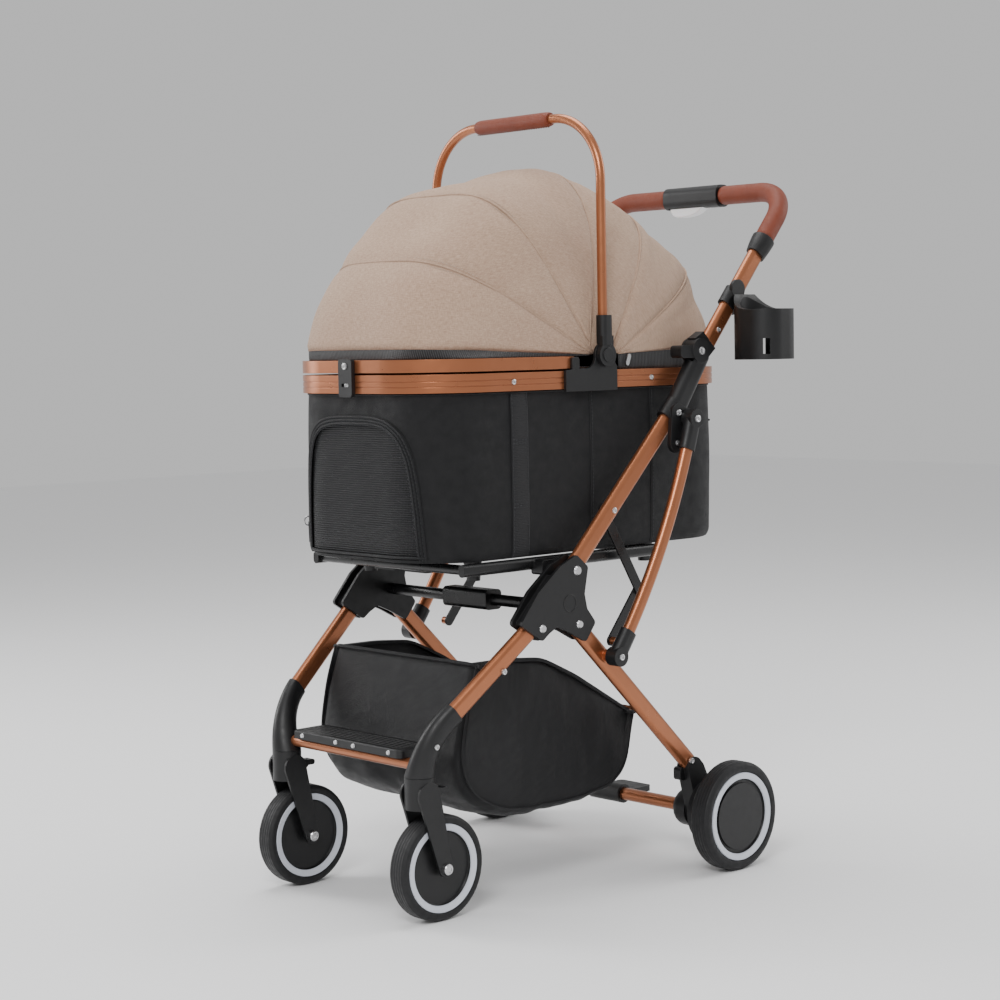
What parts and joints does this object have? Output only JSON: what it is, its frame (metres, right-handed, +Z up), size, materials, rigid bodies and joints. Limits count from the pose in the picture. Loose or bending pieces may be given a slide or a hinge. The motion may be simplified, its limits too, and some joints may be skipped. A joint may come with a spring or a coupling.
{
  "type": "folding pet stroller",
  "caption": "Four-wheeled folding pet stroller with a lift-off soft carrier, domed cover, storage basket, cup holder and curved push handle.",
  "frame": {"origin": "on the floor under the middle of the stroller's overall box", "axes": "+Z up, -Y towards the front casters, +X the stroller's left as it is pushed"},
  "size_m": [0.576, 0.82, 1.1465],
  "materials": {
    "copper_frame": "satin copper-coloured powder coat",
    "silver_rivets": "brushed",
    "black_plastic": "fine matte grain",
    "white_plastic": "smooth",
    "tyre_rubber": "matte with fine tread grooves",
    "wheel_plastic": "matte",
    "leatherette": "fine leather grain, stitched",
    "black_fabric": "woven polyester",
    "canopy_fabric": "melange woven cover",
    "mesh_fabric": "open mesh",
    "cushion_fabric": "soft plush",
    "steel_bow": "drawn wire",
    "black_metal": "satin black",
    "basket_fabric": "woven polyester"
  },
  "bodies": {
    "base": {"hub_right": "black_plastic", "hub_left": "black_plastic", "hub_crossbar": "black_metal", "front_legs": "copper_frame", "knees": "black_plastic", "step_crossbar": "copper_frame", "step_plate": "black_plastic", "seat_frame": "black_metal", "frame_rivets": "silver_rivets", "storage_basket": "basket_fabric"},
    "lower_handle": {"main_tube_right": "copper_frame", "main_tube_left": "copper_frame", "handle_joints": "black_plastic"},
    "upper_handle": {"handle_tube": "copper_frame", "grips": "leatherette", "handle_collars": "black_plastic", "handle_centre": "black_plastic", "handle_knuckles": "black_plastic", "cup_clamp": "black_plastic"},
    "squeeze_lever": {"squeeze_lever": "white_plastic"},
    "cup_holder": {"cup_holder": "black_plastic"},
    "curved_braces": {"curved_brace_right": "copper_frame", "curved_brace_left": "copper_frame", "brace_caps": "black_plastic"},
    "rear_legs": {"rear_leg_right": "copper_frame", "rear_leg_left": "copper_frame", "rear_leg_ends": "black_plastic", "rear_axle": "copper_frame", "basket_wire": "copper_frame"},
    "brake_pedal": {"brake_pedal": "black_plastic"},
    "upper_links": {"upper_links": "black_metal"},
    "lower_links": {"lower_links": "black_metal"},
    "rear_wheel_right": {"rear_tyre_right": "tyre_rubber", "rear_wheel_right": "wheel_plastic"},
    "rear_wheel_left": {"rear_tyre_left": "tyre_rubber", "rear_wheel_left": "wheel_plastic"},
    "caster_right": {"caster_fork_right": "black_plastic"},
    "caster_left": {"caster_fork_left": "black_plastic"},
    "front_wheel_right": {"front_tyre_right": "tyre_rubber", "front_wheel_right": "wheel_plastic"},
    "front_wheel_left": {"front_tyre_left": "tyre_rubber", "front_wheel_left": "wheel_plastic"},
    "swivel_lock_right": {"swivel_lock_right": "black_plastic"},
    "swivel_lock_left": {"swivel_lock_left": "black_plastic"},
    "carrier": {"carrier_rim": "copper_frame", "side_hubs": "black_plastic", "bag": "black_fabric", "window_mesh": "mesh_fabric", "cushion": "cushion_fabric", "bag_feet": "black_plastic", "canopy_rear": "canopy_fabric", "canopy_front": "canopy_fabric", "rear_bows": "steel_bow"},
    "canopy_hoop": {"front_hoop": "copper_frame"},
    "front_bow": {"front_bow": "steel_bow"},
    "latch": {"latch": "black_plastic"},
    "carry_handle": {"carry_handle": "copper_frame", "carry_grip": "leatherette", "handle_feet": "black_plastic"},
    "zip_pull": {"zip_pull": "silver_rivets"}
  },
  "joints": [
    {"name": "frame_fold", "type": "hinge", "parent": "base", "child": "lower_handle", "pos_m": [0, -0.112, 0.476], "axis": [-1, 0, 0], "range_deg": [0, 30], "deforming": ["storage_basket"]},
    {"name": "rear_leg_swing", "type": "hinge", "parent": "base", "child": "rear_legs", "pos_m": [0, -0.109, 0.398], "axis": [-1, 0, 0], "range_deg": [0, 52.59]},
    {"name": "brace_swing", "type": "hinge", "parent": "lower_handle", "child": "curved_braces", "pos_m": [0, 0.12, 0.686], "axis": [-1, 0, 0], "range_deg": [-2.4, 0]},
    {"name": "upper_link_swing", "type": "hinge", "parent": "lower_handle", "child": "upper_links", "pos_m": [0, -0.029, 0.557], "axis": [-1, 0, 0], "range_deg": [0, 5.4]},
    {"name": "lower_link_swing", "type": "hinge", "parent": "upper_links", "child": "lower_links", "pos_m": [0, 0.046, 0.432], "axis": [-1, 0, 0], "range_deg": [-26.19, 0]},
    {"name": "handle_fold", "type": "hinge", "parent": "lower_handle", "child": "upper_handle", "pos_m": [0, 0.161, 0.787], "axis": [1, 0, 0], "range_deg": [0, 50]},
    {"name": "lever_squeeze", "type": "hinge", "parent": "upper_handle", "child": "squeeze_lever", "pos_m": [-0.05, 0.39, 1.0205], "axis": [0, -1, 0], "range_deg": [0, 5], "stiffness_Nm_per_rad": 0.6},
    {"name": "cup_holder_lift", "type": "slide", "parent": "upper_handle", "child": "cup_holder", "axis": [0, 0, 1], "range_m": [0, 0.06]},
    {"name": "brake_press", "type": "hinge", "parent": "rear_legs", "child": "brake_pedal", "pos_m": [0, 0.164, 0.0825], "axis": [-1, 0, 0], "range_deg": [0, 20]},
    {"name": "rear_wheel_right_spin", "type": "hinge", "parent": "rear_legs", "child": "rear_wheel_right", "pos_m": [0.264, 0.164, 0.0825], "axis": [1, 0, 0], "continuous": true},
    {"name": "caster_right_swivel", "type": "hinge", "parent": "base", "child": "caster_right", "pos_m": [0.151, -0.366, 0.207], "axis": [0, 0, 1], "continuous": true},
    {"name": "front_wheel_right_spin", "type": "hinge", "parent": "caster_right", "child": "front_wheel_right", "pos_m": [0.151, -0.338, 0.075], "axis": [1, 0, 0], "continuous": true},
    {"name": "swivel_lock_right_press", "type": "hinge", "parent": "caster_right", "child": "swivel_lock_right", "pos_m": [0.151, -0.34, 0.183], "axis": [-1, 0, 0], "range_deg": [0, 25]},
    {"name": "rear_wheel_left_spin", "type": "hinge", "parent": "rear_legs", "child": "rear_wheel_left", "pos_m": [-0.264, 0.164, 0.0825], "axis": [1, 0, 0], "continuous": true},
    {"name": "caster_left_swivel", "type": "hinge", "parent": "base", "child": "caster_left", "pos_m": [-0.151, -0.366, 0.207], "axis": [0, 0, 1], "continuous": true},
    {"name": "front_wheel_left_spin", "type": "hinge", "parent": "caster_left", "child": "front_wheel_left", "pos_m": [-0.151, -0.338, 0.075], "axis": [1, 0, 0], "continuous": true},
    {"name": "swivel_lock_left_press", "type": "hinge", "parent": "caster_left", "child": "swivel_lock_left", "pos_m": [-0.151, -0.34, 0.183], "axis": [-1, 0, 0], "range_deg": [0, 25]},
    {"name": "carrier_lift", "type": "slide", "parent": "base", "child": "carrier", "axis": [0, 0, 1], "range_m": [0, 0.2]},
    {"name": "canopy_open", "type": "hinge", "parent": "carrier", "child": "canopy_hoop", "pos_m": [0, -0.078, 0.774], "axis": [-1, 0, 0], "range_deg": [0, 45], "deforming": ["canopy_front"]},
    {"name": "front_bow_swing", "type": "hinge", "parent": "carrier", "child": "front_bow", "pos_m": [0, -0.078, 0.774], "axis": [-1, 0, 0], "range_deg": [0, 22.51]},
    {"name": "latch_open", "type": "hinge", "parent": "canopy_hoop", "child": "latch", "pos_m": [0, -0.357, 0.7835], "axis": [-1, 0, 0], "range_deg": [0, 60]},
    {"name": "carry_handle_swing", "type": "hinge", "parent": "carrier", "child": "carry_handle", "pos_m": [0, -0.02, 0.784], "axis": [-1, 0, 0], "range_deg": [-50, 40]},
    {"name": "zip_pull_flip", "type": "hinge", "parent": "carrier", "child": "zip_pull", "pos_m": [0.1725, 0.045, 0.7835], "axis": [0, 1, 0], "range_deg": [-60, 0]}
  ],
  "couplings": [
    {"joint": "rear_leg_swing", "follows": "frame_fold", "ratio": 1.753},
    {"joint": "brace_swing", "follows": "frame_fold", "ratio": -0.08},
    {"joint": "upper_link_swing", "follows": "frame_fold", "ratio": 0.18},
    {"joint": "lower_link_swing", "follows": "frame_fold", "ratio": -0.873},
    {"joint": "front_bow_swing", "follows": "canopy_open", "ratio": 0.5}
  ]
}
